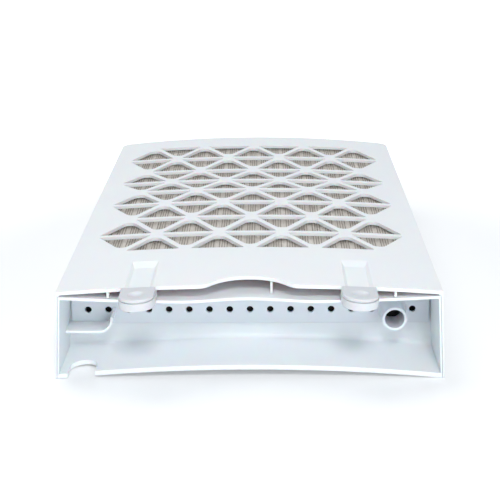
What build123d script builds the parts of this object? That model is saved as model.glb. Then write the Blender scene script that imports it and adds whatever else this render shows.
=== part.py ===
# Removable rear cassette of an evaporative air cooler, lying on its open back with the grille up.
# X runs across the panel, Y runs from the trough end (-Y) to the drain end (+Y), Z is up.
# Pieces are drawn with Y = 0 at the panel's trough-end edge and moved to the shared origin on export.
import os
from math import asin, cos, degrees, pi, sqrt
from build123d import *

os.makedirs("parts", exist_ok=True)

# ---------------------------------------------------------------- overall sizes (mm)
TOP_WIDTH = 240.0         # across the panel's outer skin
SIDE_FLARE = 3.3          # how far each side wall leans out at the bottom
SIDE_HEIGHT = 58.5        # side wall height at the outer corner
CROWN_RISE = 4.6          # rise of the arched skin above its corners
CORNER_LENGTH = 397.0     # trough-end edge to the far corners
FAR_BOW = 9.0             # bulge of the far edge in plan
FAR_CORNER_R = 9.0        # rounding of the two far corners in plan
SKIN = 2.4                # skin thickness
WALL = 2.2                # side and far wall thickness
BELLY_RISE = 6.0          # rise of the arched lower rim at mid width

# grille lattice
COLUMN_PITCH = 22.0
COLUMNS = 4               # outermost full column, counted from the middle
ROW_LINES = (73.5, 111.5, 151.0, 190.5, 225.5, 254.0, 287.0, 330.0, 374.0)
BAR = 4.2                 # width of a lattice bar
BASE_R = 1.0              # rounding of a triangle's two base corners
APEX_R = 5.2              # rounding of a triangle's apex

# finger scallop in the skin's trough-end edge
SCALLOP_HALF = 28.0
SCALLOP_FLAT = 13.5
SCALLOP_DEPTH = 16.0
SCALLOP_TOP_R = 28.0
SCALLOP_ROOT_R = 9.0

# water trough
TROUGH_DEPTH = 48.0       # trough mouth to its back wall
TROUGH_WALL = 2.0         # back wall
TROUGH_SIDE = 1.1         # side walls, which stand in a rebate of the panel's side walls
REBATE_WALL = 1.1         # plastic left of the panel's side walls at the rebate
TROUGH_SET_BACK = 0.4     # trough mouth behind the panel's edge
FLOOR = 3.2               # trough floor thickness
LID = 1.8                 # thickness of the trough's upper wall
LID_Z = (55.0, 53.0, 52.4, 52.0)      # upper wall's outer height at the stations below
LID_X = (1.0, 0.60, 0.36, 0.0)        # stations as shares of the half width
LID_SCALLOP_HALF = 46.0   # shallow scallop in the upper wall's front edge
LID_SCALLOP_DEPTH = 6.5
COVE_R = 3.0
NOTCH_X = -106.5          # hose notch in the floor's edge
NOTCH_WIDTH = 17.5
NOTCH_DEPTH = 20.0
SHELF_Z = 20.0            # underside of the hose shelf
SHELF = 1.6
SHELF_TURN_X = -88.5      # outer face of the shelf's upturned lip
SHELF_TURN_R = 9.0
SHELF_LIP_Z = 31.0
SHELF_FRONT = 28.0
RIB_X = (-87.7, 14.1, 91.0)           # stiffening ribs between trough and skin
RIB = 1.5

# drip plate and overflow pipe
PLATE = 1.8
PLATE_LOW = 20.0
PLATE_HIGH = 50.0
GASKET = 0.6
GASKET_WIDTH = 2.0
WINDOW_MARGIN = 2.6       # overlap of the plate on the back wall all round
HOLE_COUNT = 17
HOLE_PITCH = 13.37
HOLE_D = 4.4
HOLE_Z = 29.6
PIPE_HOLE = 15            # the overflow pipe stands in this place of the hole row
PIPE_OD = 16.0
PIPE_WALL = 1.7
PIPE_FRONT = 26.8
PIPE_FLARE = 1.5          # how far the pipe's foot widens, on the radius
PIPE_FLARE_LENGTH = 3.0

# evaporation pad and what holds it
PAD_WIDTH = 213.0
PAD_START = 58.0
PAD_END = 388.0
FRAME_LOW = 9.6           # retaining frame's outer face
FRAME = 3.4
FRAME_RIM = 9.0
FRAME_START = 61.0
FRAME_END = 389.0
FRAME_SIDE_GAP = 0.9
FRAME_CELLS_X = 6
FRAME_CELLS_Y = 8
FRAME_BAR = 3.2
SEAL = 4.0
SEAL_TOP = 50.0
FELT_LOW = 18.0
FELT_HIGH = 42.0
FELT_LENGTH = 6.6
TRAY = 1.6                # drain tray wall
TRAY_WIDTH = 218.0
TRAY_HIGH = 53.0
TRAY_BASE = 394.4
TRAY_SLOTS = 7
TRAY_SLOT = (14.0, 3.0)

# dust mesh and its frame, both arched like the skin
MESH = 0.6
MESH_FRAME = 1.2
MESH_FRAME_BAR = 3.5
MESH_START = 64.5
MESH_END = 394.0

# slide latches; heights are below the skin's outer face at the latch
LATCH_X = 68.3
LATCH_WIDTH = 22.6
LATCH_NOSE = 24.4         # how far the nose stands out of the panel
LATCH_DEPTH = 7.6
LATCH_TIER = 1.9          # height of the upper tier
LATCH_STEP = 0.5          # how far the upper tier stands back from the lower one
LATCH_GROOVE = 0.45
LATCH_ROUND = 0.9         # rounding of the rims
LATCH_TRAVEL = 12.0
DIMPLE_R = 5.6
DIMPLE_DEPTH = 1.3
TONGUE_WIDTH = 16.0
TONGUE = 2.2
TONGUE_TOP = 3.9
TONGUE_HEEL = 3.6
HEEL_WIDTH = 21.0
GUIDE_START = 14.0
GUIDE_LENGTH = 20.0
GUIDE_WALL = 3.8
GUIDE_STRAP = 0.7
GUIDE_FLANGE = 1.4
GUIDE_FLANGE_REACH = 5.2
RECESS_WIDTH = 17.8
RECESS_FLOOR = 13.6
RECESS_DEPTH = 1.8
RECESS_BACK = 1.4         # plastic left under the recess
RECESS_END = 51.0
RECESS_RAMP = 9.0

# hook tabs at the drain end
TAB_X = 70.0
TAB_WIDTH = 14.0
TAB_REACH = 13.0
TAB_Z = 8.0
TAB = 3.0

# fasteners: head diameter, head height, shank diameter, shank length
PANEL_SCREW = (6.0, 1.8, 2.9, 11.0)
GUIDE_SCREW = (3.8, 1.2, 1.9, 3.0)
PILLAR_R = 3.4
PILLAR_X = 116.0
PILLAR_Y = (78.0, 225.0, 372.0)
TROUGH_PILLAR_X = 114.8
TROUGH_PILLAR_Y = 55.6
TRAY_BOSS_X = 60.0

# clearances
CLEAR = 0.3               # between loose or moving pieces
FIT = 0.2                 # between pieces fixed to each other
HOLE_PLAY = 0.1           # a screw's shank in its hole, on the radius

# ---------------------------------------------------------------- worked out from the above
HALF = TOP_WIDTH / 2
FOOT_HALF = HALF + SIDE_FLARE
CROWN_Z = SIDE_HEIGHT + CROWN_RISE
CROWN_R = (HALF**2 + CROWN_RISE**2) / (2 * CROWN_RISE)
BELLY_HALF = FOOT_HALF - REBATE_WALL - FIT - TROUGH_SIDE
BELLY_R = (BELLY_HALF**2 + BELLY_RISE**2) / (2 * BELLY_RISE)
FAR_Y = CORNER_LENGTH + FAR_BOW
BOW_R = (HALF**2 + FAR_BOW**2) / (2 * FAR_BOW)
BIG = 3 * FAR_Y
PLATE_FRONT = TROUGH_DEPTH - GASKET - PLATE
FRAME_TOP = FRAME_LOW + FRAME
PAD_HALF = PAD_WIDTH / 2
MESH_TOP = SKIN + CLEAR
MESH_OUTER_X = PILLAR_X - PILLAR_R - CLEAR
PAD_TOP = MESH_TOP + MESH_FRAME + CLEAR
PAD_LOW = FRAME_TOP + CLEAR
LATCH_TILT = degrees(asin(LATCH_X / CROWN_R))
TAB_END = FAR_Y - BOW_R + sqrt(BOW_R**2 - TAB_X**2) + TAB_REACH
SHIFT_Y = -(TAB_END - LATCH_NOSE) / 2   # puts the origin under the middle of the overall length


def skin_z(x, below=0.0):
    """Height of the arched skin, or of a face a given distance below it."""
    radius = CROWN_R - below
    return CROWN_Z - CROWN_R + sqrt(radius**2 - x**2)


def side_x(z, inside=0.0):
    """Half width of the flared sides at a height, moved in by a wall."""
    return FOOT_HALF - SIDE_FLARE * z / SIDE_HEIGHT - inside


def belly_z(x):
    """Height of the arched lower rim."""
    return BELLY_RISE - BELLY_R + sqrt(BELLY_R**2 - x**2)


def bow_y(x):
    """Far edge of the panel in plan."""
    return FAR_Y - BOW_R + sqrt(BOW_R**2 - x**2)


def box(x0, x1, y0, y1, z0, z1):
    """Box between two corners."""
    block = Box(x1 - x0, y1 - y0, z1 - z0)
    return Pos((x0 + x1) / 2, (y0 + y1) / 2, (z0 + z1) / 2) * block


def along_y(section, y0, y1):
    """Prism of a section drawn as X and height, between two places on Y."""
    return extrude(Plane((0, y1, 0), x_dir=(1, 0, 0), z_dir=(0, -1, 0)) * section, y1 - y0)


def along_z(outline, z0, z1):
    """Prism of a plan outline between two heights."""
    return extrude(Pos(0, 0, z0) * outline, z1 - z0)


def arch_section(below, half, low):
    """Section under an arch concentric with the skin, down to a height."""
    edge_z = skin_z(half, below)
    arc = ThreePointArc((-half, edge_z), (0, skin_z(0, below)), (half, edge_z))
    rest = Polyline((half, edge_z), (half, low), (-half, low), (-half, edge_z))
    return make_face([arc] + rest.edges())


def arched_layer(below, thickness, half, y0, y1):
    """Thin layer that follows the skin at a distance below it."""
    outer = along_y(arch_section(below, half, 0), y0, y1)
    return outer - along_y(arch_section(below + thickness, half + 1, -1), y0 - 1, y1 + 1)


def shell_prism(skin, wall, y0, y1):
    """Inside or outside of the panel: arched on top, flared at the sides, bowed at the far end."""
    top_half = side_x(SIDE_HEIGHT, wall)
    corner_z = skin_z(top_half, skin)
    low = -1.0 if wall else 0.0
    arc = ThreePointArc((-top_half, corner_z), (0, skin_z(0, skin)), (top_half, corner_z))
    foot = side_x(low, wall)
    rest = Polyline((top_half, corner_z), (foot, low), (-foot, low), (-top_half, corner_z))
    body = along_y(make_face([arc] + rest.edges()), y0, y1)
    edge = CORNER_LENGTH - wall
    bow = ThreePointArc((-HALF, edge), (0, edge + FAR_BOW), (HALF, edge))
    wide = FOOT_HALF + 5
    slope = FAR_BOW / HALF * 2
    sides = Polyline(
        (HALF, edge), (wide, edge - slope * (wide - HALF)), (wide, y0 - 1),
        (-wide, y0 - 1), (-wide, edge - slope * (wide - HALF)), (-HALF, edge),
    )
    return body & along_z(make_face([bow] + sides.edges()), low - 1, CROWN_Z + 1)


def round_far_corners(body, radius):
    """Rounds the two upright edges at the drain end."""
    upright = [
        edge for edge in body.edges()
        if edge.center().Y > CORNER_LENGTH - 12 and edge.bounding_box().size.Z > SIDE_HEIGHT / 2
    ]
    return fillet(upright, radius)


def screw(size):
    """Pan-head screw, head down at Z = 0, shank upwards."""
    head_d, head_h, shank_d, length = size
    head = Pos(0, 0, -head_h / 2) * Cylinder(head_d / 2, head_h)
    rim = head.edges().filter_by(GeomType.CIRCLE).sort_by(Axis.Z)[0]
    return fillet(rim, head_h * 0.45) + Pos(0, 0, length / 2) * Cylinder(shank_d / 2, length)


def save(name, shape):
    """Writes one piece in the shared frame."""
    export_step(Pos(0, SHIFT_Y, 0) * shape, f"parts/{name}.step")


def at_latch(side):
    """Frame on the skin's outer face at a latch, tilted with the arch."""
    return Location((side * LATCH_X, 0, skin_z(LATCH_X)), (0, side * LATCH_TILT, 0))


# ---------------------------------------------------------------- grille panel
def lattice_triangle(column, row, toward):
    """One rounded triangular opening beside the cross bar at a column and row line."""
    half_bar = BAR / 2
    base_y = ROW_LINES[row]
    tip_y = ROW_LINES[row + toward]
    height = abs(tip_y - base_y)
    slant = sqrt(height**2 + COLUMN_PITCH**2)
    base = base_y + toward * half_bar
    tip = tip_y - toward * half_bar * slant / COLUMN_PITCH
    half_base = abs(tip - base) * COLUMN_PITCH / height
    x = column * COLUMN_PITCH
    outline = make_face(Polyline((x - half_base, base), (x + half_base, base), (x, tip), close=True))
    corners = outline.vertices().sort_by(Axis.Y, reverse=toward < 0)
    outline = fillet(corners[2], APEX_R)
    ends = outline.vertices().sort_by(Axis.Y, reverse=toward < 0)[:2]
    return fillet(ends, BASE_R)


def lattice_openings():
    """Every opening of the lattice, as one sketch."""
    openings = []
    last = len(ROW_LINES) - 1
    for column in range(-COLUMNS, COLUMNS + 1):
        for row in range(last + 1):
            if (column + COLUMNS + row) % 2 == 0:
                continue
            if row > 0:
                openings.append(lattice_triangle(column, row, -1))
            if row < last:
                openings.append(lattice_triangle(column, row, 1))
    return openings


def scallop():
    """Finger scallop cut out of the skin's edge."""
    outline = make_face(Polyline(
        (-SCALLOP_HALF - 30, -20), (-SCALLOP_HALF - 30, 0), (-SCALLOP_HALF, 0),
        (-SCALLOP_FLAT, SCALLOP_DEPTH), (SCALLOP_FLAT, SCALLOP_DEPTH),
        (SCALLOP_HALF, 0), (SCALLOP_HALF + 30, 0), (SCALLOP_HALF + 30, -20), close=True,
    ))
    tops = [v for v in outline.vertices() if v.Y > 1]
    outline = fillet(tops, SCALLOP_TOP_R)
    roots = [v for v in outline.vertices() if abs(v.Y) < 0.01 and abs(v.X) < SCALLOP_HALF + 1]
    return along_z(fillet(roots, SCALLOP_ROOT_R), SIDE_HEIGHT - 8, CROWN_Z + 1)


def latch_recess():
    """Finger recess behind a latch, in the latch's own frame."""
    profile = make_face(Polyline(
        (-RECESS_WIDTH / 2 - 1, 1), (-RECESS_FLOOR / 2, -RECESS_DEPTH),
        (RECESS_FLOOR / 2, -RECESS_DEPTH), (RECESS_WIDTH / 2 + 1, 1), close=True,
    ))
    channel = along_y(profile, -2, RECESS_END)
    ramp = Plane.YZ * make_face(Polyline(
        (RECESS_END - RECESS_RAMP, -RECESS_DEPTH - 1), (RECESS_END - RECESS_RAMP, -RECESS_DEPTH),
        (RECESS_END, 0), (RECESS_END, 2), (RECESS_END + 9, 2), (RECESS_END + 9, -RECESS_DEPTH - 1),
        close=True,
    ))
    return channel - extrude(ramp, RECESS_WIDTH, both=True)


def recess_backing():
    """Thickening under the skin that carries the recess and the guide's screw pads."""
    depth = RECESS_DEPTH + RECESS_BACK
    floor = box(-RECESS_WIDTH / 2, RECESS_WIDTH / 2, 0.6, RECESS_END + 1.5, -depth, -SKIN + 0.6)
    pads = [
        box(side * guide_screw_x() - 2.6, side * guide_screw_x() + 2.6,
            guide_mid_y() - 3.2, guide_mid_y() + 3.2, -guide_flange_top(), -SKIN + 0.6)
        for side in (-1, 1)
    ]
    return [floor] + pads


def guide_screw_x():
    """Place of a guide's screw, out from the latch's middle."""
    return TONGUE_WIDTH / 2 + CLEAR + GUIDE_WALL + GUIDE_FLANGE_REACH / 2


def guide_mid_y():
    """Middle of a guide along its slide."""
    return GUIDE_START + GUIDE_LENGTH / 2


def guide_flange_top():
    """Seat of a guide's flange below the skin's outer face."""
    return SKIN + 0.7


def frame_pillars():
    """Upright screw pillars that hang from the skin: centre X, centre Y."""
    spots = [(side * PILLAR_X, y) for side in (-1, 1) for y in PILLAR_Y]
    return spots + [(side * TROUGH_PILLAR_X, TROUGH_PILLAR_Y) for side in (-1, 1)]


def tray_boss_length():
    """Reach of a drain tray boss from the far wall's inner face."""
    return bow_y(TRAY_BOSS_X) - WALL - TRAY_BASE - FIT


def trough_rebate():
    """Slices taken off the side walls' inner faces, where the trough's side walls stand."""
    top = LID_Z[0] + 2 * FIT
    slices = []
    for side in (-1, 1):
        section = make_face(Polyline(
            (side * side_x(-1, WALL + 1), -1), (side * side_x(-1, REBATE_WALL), -1),
            (side * side_x(top, REBATE_WALL), top), (side * side_x(top, WALL + 1), top), close=True,
        ))
        slices.append(along_y(section, -1, TROUGH_DEPTH + TROUGH_WALL + FIT))
    return slices


def make_grille_panel():
    """Arched outer moulding: lattice, side walls, far wall, ribs, pillars, recesses and hook tabs."""
    outside = round_far_corners(shell_prism(0, 0, 0, BIG), FAR_CORNER_R)
    inside = round_far_corners(shell_prism(SKIN, WALL, -1, BIG), FAR_CORNER_R - WALL)
    belly = make_face([
        ThreePointArc((-BELLY_HALF, 0), (0, BELLY_RISE), (BELLY_HALF, 0)),
        Line((BELLY_HALF, 0), (-BELLY_HALF, 0)),
    ])
    panel = outside - inside - along_y(belly, CORNER_LENGTH - 40, FAR_Y + 5)

    for x, y in frame_pillars():
        panel += (Pos(x, y, 0) * along_z(Circle(PILLAR_R), FRAME_TOP + FIT, CROWN_Z)) & outside
    for side in (-1, 1):
        x = side * TRAY_BOSS_X
        z = (FRAME_TOP + TRAY_HIGH) / 2
        boss = Pos(x, TRAY_BASE + FIT, z) * Rot(-90, 0, 0) * Cylinder(
            PILLAR_R, tray_boss_length() + WALL / 2, align=(Align.CENTER, Align.CENTER, Align.MIN))
        panel += boss
        tab = box(side * TAB_X - TAB_WIDTH / 2, side * TAB_X + TAB_WIDTH / 2,
                  bow_y(TAB_X) - WALL, TAB_END, TAB_Z, TAB_Z + TAB)
        lip = box(side * TAB_X - TAB_WIDTH / 2, side * TAB_X + TAB_WIDTH / 2,
                  TAB_END - TAB, TAB_END, TAB_Z, TAB_Z + 2.4 * TAB)
        panel += tab + lip
        seat = at_latch(side)
        for pad in recess_backing():
            panel += seat * pad
    for x in RIB_X:
        panel += make_rib(x)
    panel -= trough_rebate()

    for side in (-1, 1):
        seat = at_latch(side)
        panel -= seat * latch_recess()
        for screw_side in (-1, 1):
            hole = along_z(Circle(GUIDE_SCREW[2] / 2 + HOLE_PLAY), -guide_flange_top() - 1, -1.1)
            panel -= seat * (Pos(screw_side * guide_screw_x(), guide_mid_y(), 0) * hole)
        z = (FRAME_TOP + TRAY_HIGH) / 2
        panel -= Pos(side * TRAY_BOSS_X, TRAY_BASE, z) * Rot(-90, 0, 0) * Cylinder(
            PANEL_SCREW[2] / 2 + HOLE_PLAY, tray_boss_length() + FIT + WALL / 3,
            align=(Align.CENTER, Align.CENTER, Align.MIN))
    pilot = along_z(Circle(PANEL_SCREW[2] / 2 + HOLE_PLAY), FRAME_TOP - 1, FRAME_LOW + PANEL_SCREW[3] + 1)
    for x, y in frame_pillars():
        panel -= Pos(x, y, 0) * pilot
    panel -= scallop()
    cutters = [along_z(opening, SIDE_HEIGHT - 8, CROWN_Z + 2) for opening in lattice_openings()]
    return panel - cutters


def lid_top(x):
    """Outer height of the trough's upper wall, by straight stretches, for what stands on it."""
    share = abs(x) / trough_half(LID_Z[0])
    for k in range(len(LID_X) - 1):
        if share >= LID_X[k + 1]:
            along = (share - LID_X[k + 1]) / (LID_X[k] - LID_X[k + 1])
            return LID_Z[k + 1] + along * (LID_Z[k] - LID_Z[k + 1])
    return LID_Z[-1]


def make_rib(x):
    """Stiffening rib from the skin down to just above the trough's upper wall."""
    foot = lid_top(x) + 2 * FIT
    top = skin_z(x, SKIN) + 0.8
    in_scallop = abs(x) < SCALLOP_FLAT + 2
    foot_y = lid_front(x) + 0.6
    head_y = SCALLOP_DEPTH if in_scallop else foot_y
    profile = Plane.YZ * make_face(Polyline(
        (foot_y, foot), (TROUGH_DEPTH, foot), (TROUGH_DEPTH, top), (head_y, top),
        (foot_y, foot + 1.4), close=True,
    ))
    return Pos(x, 0, 0) * extrude(profile, RIB / 2, both=True)


# ---------------------------------------------------------------- water trough
def trough_half(z, inside=0.0):
    """Half width of the trough's outside at a height, moved in by a wall."""
    return side_x(z, REBATE_WALL + FIT + inside)


def lid_front(x):
    """Front edge of the trough's upper wall in plan, with its shallow scallop."""
    share = min(abs(x) / LID_SCALLOP_HALF, 1)
    return TROUGH_SET_BACK + LID_SCALLOP_DEPTH * (1 + cos(pi * share)) / 2


def lid_scallop():
    """Shallow scallop cut out of the upper wall's front edge."""
    steps = 8
    xs = [LID_SCALLOP_HALF * (2 * k / steps - 1) for k in range(steps + 1)]
    edge = Spline([(x, lid_front(x)) for x in xs], tangents=[(1, 0), (1, 0)])
    rest = Polyline((xs[-1], TROUGH_SET_BACK), (xs[-1], -2), (xs[0], -2), (xs[0], TROUGH_SET_BACK))
    return along_z(make_face([edge] + rest.edges()), LID_Z[-1] - LID - 3, LID_Z[0] + 1)


def lid_curve(drop, inset):
    """Wavy line of the trough's upper wall, lowered by a thickness."""
    half = trough_half(LID_Z[0]) - inset
    points = [(-half * share, z - drop) for share, z in zip(LID_X, LID_Z)]
    points += [(half * share, z - drop) for share, z in zip(LID_X[-2::-1], LID_Z[-2::-1])]
    return points


def trough_section(inset, floor, drop):
    """Closed section of the trough, outside or inside, between the arched floor and wavy lid."""
    points = lid_curve(drop, inset)
    top = Spline(points)
    foot_z = belly_z(BELLY_HALF) + floor
    foot = trough_half(foot_z) - inset
    belly = ThreePointArc((foot, foot_z), (0, belly_z(0) + floor), (-foot, foot_z))
    right = Line(points[-1], (foot, foot_z))
    left = Line((-foot, foot_z), points[0])
    return make_face([top, right, belly, left])


def hose_notch():
    """Rounded notch through the trough floor's edge."""
    radius = NOTCH_WIDTH / 2
    straight = NOTCH_DEPTH - radius
    outline = Pos(NOTCH_X, straight) * Circle(radius) + Pos(NOTCH_X, straight / 2 - 2) * Rectangle(
        NOTCH_WIDTH, straight + 4)
    return along_z(outline, -1, 12)


def make_shelf():
    """Hose shelf that springs from the left wall and turns up at its free edge."""
    start_z = SHELF_Z + SHELF / 2
    turn_x = SHELF_TURN_X - SHELF / 2
    line = FilletPolyline(
        (-trough_half(start_z) + TROUGH_SIDE / 2, start_z), (turn_x - 1.5, start_z),
        (turn_x, SHELF_LIP_Z), radius=SHELF_TURN_R - SHELF / 2)
    band = trace(line, SHELF)
    return along_y(band, SHELF_FRONT, PLATE_FRONT - FIT)


def window_box(margin, y0, y1):
    """Window behind the drip plate, grown or shrunk by a margin all round."""
    half = trough_half(PLATE_HIGH) - TROUGH_SIDE - WINDOW_MARGIN - FIT + margin
    low = PLATE_LOW + WINDOW_MARGIN - margin
    high = PLATE_HIGH - WINDOW_MARGIN + margin
    return box(-half, half, y0, y1, low, high)


def make_drip_trough():
    """Trough moulding: arched floor, side walls, wavy upper wall, back wall, shelf and lugs."""
    outer = along_y(trough_section(0, 0, 0), TROUGH_SET_BACK, TROUGH_DEPTH + TROUGH_WALL)
    inner = along_y(trough_section(TROUGH_SIDE, FLOOR, LID), TROUGH_SET_BACK - 1, TROUGH_DEPTH)
    cove_edges = [
        edge for edge in inner.edges()
        if abs(edge.center().Y - TROUGH_DEPTH) < 0.01 and edge.center().Z < 20
        and edge.bounding_box().size.X > TOP_WIDTH / 2
    ]
    inner = fillet(cove_edges, COVE_R)
    trough = outer - inner + make_shelf()
    trough -= hose_notch()
    trough -= lid_scallop()
    trough -= window_box(0, TROUGH_DEPTH - 1, TROUGH_DEPTH + TROUGH_WALL + 1)
    for side in (-1, 1):
        x = side * TROUGH_PILLAR_X
        lug = box(x - 4.6, x + 4.6, TROUGH_DEPTH + TROUGH_WALL, TROUGH_PILLAR_Y + 4.4,
                  FRAME_LOW, FRAME_TOP)
        hole = along_z(Circle(PANEL_SCREW[2] / 2 + HOLE_PLAY), FRAME_LOW - 1, FRAME_TOP + 1)
        trough += lug & shell_prism(SKIN + FIT, WALL + FIT, 0, BIG)
        trough -= Pos(x, TROUGH_PILLAR_Y, 0) * hole
    return trough


def hole_x(k):
    """Place of a drip hole in its row."""
    return (k - (HOLE_COUNT - 1) / 2) * HOLE_PITCH


def make_drip_plate():
    """Perforated plate across the trough's back with the overflow pipe standing on it."""
    plate = window_box(WINDOW_MARGIN, PLATE_FRONT, PLATE_FRONT + PLATE)
    for k in range(HOLE_COUNT):
        spot = Pos(hole_x(k), PLATE_FRONT - 1, HOLE_Z) * Rot(-90, 0, 0)
        along = (Align.CENTER, Align.CENTER, Align.MIN)
        if k == PIPE_HOLE:
            pipe = Cylinder(PIPE_OD / 2, PLATE_FRONT - PIPE_FRONT + PLATE / 2, align=along)
            flare = Cone(PIPE_OD / 2, PIPE_OD / 2 + PIPE_FLARE, PIPE_FLARE_LENGTH, align=along)
            plate += Pos(hole_x(k), PIPE_FRONT, HOLE_Z) * Rot(-90, 0, 0) * pipe
            plate += Pos(hole_x(k), PLATE_FRONT - PIPE_FLARE_LENGTH, HOLE_Z) * Rot(-90, 0, 0) * flare
            bore = Cylinder(PIPE_OD / 2 - PIPE_WALL, TROUGH_DEPTH, align=along)
            plate -= Pos(hole_x(k), PIPE_FRONT - 1, HOLE_Z) * Rot(-90, 0, 0) * bore
        else:
            plate -= spot * Cylinder(HOLE_D / 2, PLATE + 2, align=along)
    return plate


def make_plate_gasket():
    """Flat rubber ring between the drip plate and the back wall."""
    y0 = PLATE_FRONT + PLATE
    return window_box(GASKET_WIDTH, y0, y0 + GASKET) - window_box(0, y0 - 1, y0 + GASKET + 1)


# ---------------------------------------------------------------- mesh, pad, seals
def make_dust_mesh():
    """Fine dust mesh just under the lattice."""
    bar = MESH_FRAME_BAR
    return arched_layer(MESH_TOP, MESH, MESH_OUTER_X - bar, MESH_START + bar, MESH_END - bar)


def make_mesh_frame():
    """Thin arched frame round the dust mesh."""
    bar = MESH_FRAME_BAR
    ring = arched_layer(MESH_TOP, MESH_FRAME, MESH_OUTER_X, MESH_START, MESH_END)
    inner = MESH_OUTER_X - bar
    return ring - box(-inner, inner, MESH_START + bar, MESH_END - bar, 0, CROWN_Z + 1)


def make_evaporation_pad():
    """Wet pad that fills the space between mesh and retaining frame."""
    return along_y(arch_section(PAD_TOP, PAD_HALF, PAD_LOW), PAD_START, PAD_END)


def make_side_seal(side):
    """Foam strip between the pad's side and the screw pillars."""
    x0, x1 = PAD_HALF + FIT, PAD_HALF + FIT + SEAL
    low, high = (x0, x1) if side > 0 else (-x1, -x0)
    return box(low, high, PAD_START, PAD_END, PAD_LOW, SEAL_TOP)


def make_diffuser_felt():
    """Felt strip that spreads the drops between drip holes and pad."""
    half = PAD_HALF - 1
    y0 = TROUGH_DEPTH + TROUGH_WALL + CLEAR
    return box(-half, half, y0, y0 + FELT_LENGTH, FELT_LOW, FELT_HIGH)


# ---------------------------------------------------------------- back and drain end
def make_retaining_frame():
    """Flat grid that holds the pad in from the open back."""
    half = side_x(FRAME_LOW + FRAME, WALL) - FRAME_SIDE_GAP
    rim = box(-half, half, FRAME_START, FRAME_END, FRAME_LOW, FRAME_TOP)
    inner_half = half - FRAME_RIM
    y0, y1 = FRAME_START + FRAME_RIM, FRAME_END - FRAME_RIM
    cell_x = (2 * inner_half + FRAME_BAR) / FRAME_CELLS_X
    cell_y = (y1 - y0 + FRAME_BAR) / FRAME_CELLS_Y
    opening = RectangleRounded(cell_x - FRAME_BAR, cell_y - FRAME_BAR, 3)
    cells = [
        Pos(-inner_half + (i + 0.5) * cell_x - FRAME_BAR / 2,
            y0 + (j + 0.5) * cell_y - FRAME_BAR / 2, 0)
        * along_z(opening, FRAME_LOW - 1, FRAME_TOP + 1)
        for i in range(FRAME_CELLS_X) for j in range(FRAME_CELLS_Y)
    ]
    hole = along_z(Circle(PANEL_SCREW[2] / 2 + HOLE_PLAY), FRAME_LOW - 1, FRAME_TOP + 1)
    holes = [Pos(side * PILLAR_X, y, 0) * hole for side in (-1, 1) for y in PILLAR_Y]
    return rim - cells - holes


def make_drain_tray():
    """Gutter across the drain end, open towards the pad, with drain slots in its base."""
    half = TRAY_WIDTH / 2
    low = FRAME_TOP + 2 * CLEAR
    start = PAD_END + CLEAR
    tray = box(-half, half, TRAY_BASE - TRAY, TRAY_BASE, low, TRAY_HIGH)
    tray += box(-half, half, start, TRAY_BASE, low, low + TRAY)
    tray += box(-half, half, start, TRAY_BASE, TRAY_HIGH - TRAY, TRAY_HIGH)
    for side in (-1, 1):
        tray += box(side * half - TRAY / 2, side * half + TRAY / 2, start, TRAY_BASE, low, TRAY_HIGH)
        middle = Pos(side * TRAY_BOSS_X, TRAY_BASE - TRAY - 1, (FRAME_TOP + TRAY_HIGH) / 2)
        tray -= middle * Rot(-90, 0, 0) * Cylinder(
            PANEL_SCREW[2] / 2 + HOLE_PLAY, TRAY + 2, align=(Align.CENTER, Align.CENTER, Align.MIN))
    pitch = TRAY_WIDTH / TRAY_SLOTS
    for k in range(TRAY_SLOTS):
        x = (k - (TRAY_SLOTS - 1) / 2) * pitch
        slot = box(x - TRAY_SLOT[0] / 2, x + TRAY_SLOT[0] / 2, TRAY_BASE - TRAY - 1, TRAY_BASE + 1,
                   low + TRAY + 2, low + TRAY + 2 + TRAY_SLOT[1])
        tray -= slot
    return tray


# ---------------------------------------------------------------- slide latches
def head_outline(inset):
    """Plan of a latch head: straight sides and a half-round nose."""
    radius = LATCH_WIDTH / 2
    back = -CLEAR
    middle = -(LATCH_NOSE - radius)
    outline = Pos(0, middle) * Circle(radius - inset)
    return outline + Pos(0, (middle + back) / 2) * Rectangle(2 * (radius - inset), back - middle)


def make_latch(side):
    """Slide latch: two-tier thumb head in front of the panel, tongue and heel under the skin."""
    head = along_z(head_outline(LATCH_STEP), -LATCH_TIER, 0)
    neck = along_z(
        head_outline(LATCH_STEP + LATCH_GROOVE), -LATCH_TIER - LATCH_GROOVE, -LATCH_TIER)
    bolt = along_z(head_outline(0), -LATCH_DEPTH, -LATCH_TIER - LATCH_GROOVE)
    top_rim = head.faces().sort_by(Axis.Z)[-1].edges()
    low_rim = bolt.faces().sort_by(Axis.Z)[0].edges()
    head = fillet([e for e in top_rim if e.center().Y < -1], LATCH_ROUND)
    bolt = fillet([e for e in low_rim if e.center().Y < -1], LATCH_ROUND)
    ball_r = (DIMPLE_R**2 + DIMPLE_DEPTH**2) / (2 * DIMPLE_DEPTH)
    ball = Pos(0, -(LATCH_NOSE - LATCH_WIDTH / 2), ball_r - DIMPLE_DEPTH) * Sphere(ball_r)
    half = TONGUE_WIDTH / 2
    heel_start = GUIDE_START + GUIDE_LENGTH + LATCH_TRAVEL + CLEAR
    tongue = box(-half, half, -6, heel_start, -TONGUE_TOP - TONGUE, -TONGUE_TOP)
    heel = box(-HEEL_WIDTH / 2, HEEL_WIDTH / 2, heel_start, heel_start + TONGUE_HEEL,
               -TONGUE_TOP - TONGUE, -TONGUE_TOP)
    return at_latch(side) * (head + neck + bolt + tongue + heel - ball)


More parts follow.
